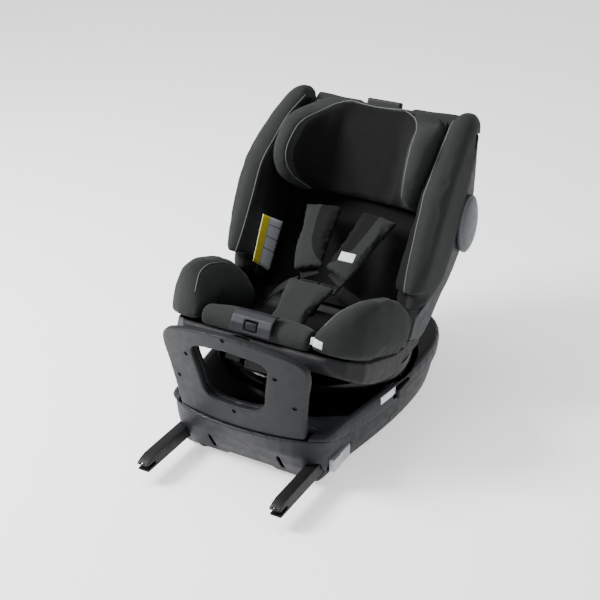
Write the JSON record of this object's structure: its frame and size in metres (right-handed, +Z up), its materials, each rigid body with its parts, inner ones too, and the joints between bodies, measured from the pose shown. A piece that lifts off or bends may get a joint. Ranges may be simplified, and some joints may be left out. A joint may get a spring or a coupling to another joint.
{
  "type": "convertible car seat",
  "caption": "Child car seat with a padded reclining bucket, side wings and height-adjustable headrest on a swivel base with anchor arms, rebound bar and fold-away support leg.",
  "frame": {"origin": "centre of the whole object's footprint, on the surface it stands on", "axes": "+Z up; the child faces -Y, the end with the anchor arms and the rebound bar; +X is the child's left"},
  "size_m": [0.4764, 0.7328, 0.5708],
  "materials": {
    "base_shell": "fine moulded grain, slate grey",
    "dark_plastic": "fine moulded grain, near black",
    "seat_shell": "fine moulded grain, bluish grey",
    "turntable_black": "polished",
    "fabric_main": "fine knit over foam, piped seams",
    "fabric_dark": "fine knit over foam",
    "webbing": "woven polyester webbing",
    "steel": "zinc plated",
    "alloy": "extruded",
    "light_grey_plastic": "satin",
    "protector_grey": "satin",
    "rubber": "matt",
    "button_red": "satin"
  },
  "bodies": {
    "base": {"base_lower_shell": "base_shell", "base_upper_shell": "base_shell", "turntable_bearing_ring": "steel", "rebound_bar_front_shell": "base_shell", "rebound_bar_rear_shell": "base_shell", "support_leg_hinge_pin": "steel", "base_rail_left": "steel", "base_rail_right": "steel", "foot_front_left": "rubber", "foot_front_right": "rubber", "foot_rear_left": "rubber", "foot_rear_right": "rubber"},
    "turntable": {"turntable": "turntable_black", "turntable_hub": "steel", "recline_rail_left": "steel", "recline_rail_right": "steel"},
    "seat": {"seat_shell_lower": "seat_shell", "seat_shell_back": "seat_shell", "seat_cushion": "fabric_main", "back_pad": "fabric_dark", "back_top_cover": "fabric_main", "adjuster_cover": "seat_shell", "adjuster_strap": "webbing", "crotch_pad": "fabric_main", "buckle_body": "dark_plastic", "harness_yoke": "steel", "seat_bolster_left": "fabric_main", "seat_bolster_right": "fabric_main", "wing_cover_left": "fabric_main", "wing_cover_right": "fabric_main", "buckle_tongue_left": "steel", "buckle_tongue_right": "steel", "lap_strap_left": "webbing", "lap_strap_right": "webbing", "shoulder_strap_left": "webbing", "shoulder_strap_right": "webbing"},
    "headrest": {"headrest_cushion": "fabric_main", "headrest_shell": "dark_plastic", "headrest_carriage": "steel", "shoulder_pad_left": "fabric_main", "shoulder_pad_right": "fabric_main"},
    "headrest_grip": {"headrest_grip": "dark_plastic"},
    "recline_handle": {"recline_handle": "dark_plastic"},
    "adjuster_button": {"adjuster_button": "dark_plastic"},
    "buckle_button": {"buckle_button": "button_red"},
    "support_leg": {"support_leg": "dark_plastic"},
    "support_leg_inner": {"support_leg_inner": "alloy", "support_leg_foot": "dark_plastic"},
    "support_leg_button": {"support_leg_button": "light_grey_plastic"},
    "isofix_arm_left": {"isofix_arm_left": "dark_plastic"},
    "isofix_arm_right": {"isofix_arm_right": "dark_plastic"},
    "isofix_hook_left": {"isofix_hook_left": "steel"},
    "isofix_hook_right": {"isofix_hook_right": "steel"},
    "isofix_release_left": {"isofix_release_left": "light_grey_plastic"},
    "isofix_release_right": {"isofix_release_right": "light_grey_plastic"},
    "swivel_lever_left": {"swivel_lever_left": "dark_plastic"},
    "swivel_lever_right": {"swivel_lever_right": "dark_plastic"},
    "side_protector_left": {"side_protector_left": "protector_grey"},
    "side_protector_right": {"side_protector_right": "protector_grey"}
  },
  "joints": [
    {"name": "seat_swivel", "type": "hinge", "parent": "base", "child": "turntable", "pos_m": [0, 0.0576, 0.1], "axis": [0, 0, 1], "continuous": true},
    {"name": "seat_recline", "type": "hinge", "parent": "turntable", "child": "seat", "pos_m": [0, 0.0576, 0.56], "axis": [1, 0, 0], "range_deg": [0, 15]},
    {"name": "headrest_height", "type": "slide", "parent": "seat", "child": "headrest", "axis": [0, 0.3746, 0.9272], "range_m": [0, 0.15]},
    {"name": "headrest_grip_pull", "type": "slide", "parent": "headrest", "child": "headrest_grip", "axis": [0, 0.3746, 0.9272], "range_m": [0, 0.008], "stiffness_N_per_m": 500},
    {"name": "recline_handle_pull", "type": "slide", "parent": "seat", "child": "recline_handle", "axis": [0, -0.9272, 0.3746], "range_m": [0, 0.012], "stiffness_N_per_m": 600},
    {"name": "adjuster_button_press", "type": "slide", "parent": "seat", "child": "adjuster_button", "axis": [0, 0.9272, -0.3746], "range_m": [0, 0.003], "stiffness_N_per_m": 900},
    {"name": "buckle_button_press", "type": "slide", "parent": "seat", "child": "buckle_button", "axis": [0, 0.3256, -0.9455], "range_m": [0, 0.003], "stiffness_N_per_m": 1200},
    {"name": "support_leg_fold", "type": "hinge", "parent": "base", "child": "support_leg", "pos_m": [0, 0.2936, 0.036], "axis": [1, 0, 0], "range_deg": [0, 95]},
    {"name": "support_leg_extend", "type": "slide", "parent": "support_leg", "child": "support_leg_inner", "axis": [0, -1, 0], "range_m": [0, 0.09]},
    {"name": "support_leg_button_press", "type": "slide", "parent": "support_leg", "child": "support_leg_button", "axis": [0, 0, 1], "range_m": [0, 0.002], "stiffness_N_per_m": 900},
    {"name": "isofix_arm_left_slide", "type": "slide", "parent": "base", "child": "isofix_arm_left", "axis": [0, 1, 0], "range_m": [0, 0.11]},
    {"name": "isofix_hook_left_catch", "type": "hinge", "parent": "isofix_arm_left", "child": "isofix_hook_left", "pos_m": [0.14, -0.3324, 0.0415], "axis": [1, 0, 0], "range_deg": [0, 6], "stiffness_Nm_per_rad": 0.5},
    {"name": "isofix_release_left_press", "type": "slide", "parent": "base", "child": "isofix_release_left", "axis": [-1, 0, 0], "range_m": [0, 0.003], "stiffness_N_per_m": 1200},
    {"name": "swivel_lever_left_press", "type": "slide", "parent": "base", "child": "swivel_lever_left", "axis": [-1, 0, 0], "range_m": [0, 0.003], "stiffness_N_per_m": 900},
    {"name": "side_protector_left_slide", "type": "slide", "parent": "seat", "child": "side_protector_left", "axis": [1, 0, 0], "range_m": [0, 0.015]},
    {"name": "isofix_arm_right_slide", "type": "slide", "parent": "base", "child": "isofix_arm_right", "axis": [0, 1, 0], "range_m": [0, 0.11]},
    {"name": "isofix_hook_right_catch", "type": "hinge", "parent": "isofix_arm_right", "child": "isofix_hook_right", "pos_m": [-0.14, -0.3324, 0.0415], "axis": [1, 0, 0], "range_deg": [0, 6], "stiffness_Nm_per_rad": 0.5},
    {"name": "isofix_release_right_press", "type": "slide", "parent": "base", "child": "isofix_release_right", "axis": [1, 0, 0], "range_m": [0, 0.003], "stiffness_N_per_m": 1200},
    {"name": "swivel_lever_right_press", "type": "slide", "parent": "base", "child": "swivel_lever_right", "axis": [1, 0, 0], "range_m": [0, 0.003], "stiffness_N_per_m": 900},
    {"name": "side_protector_right_slide", "type": "slide", "parent": "seat", "child": "side_protector_right", "axis": [-1, 0, 0], "range_m": [0, 0.015]}
  ]
}
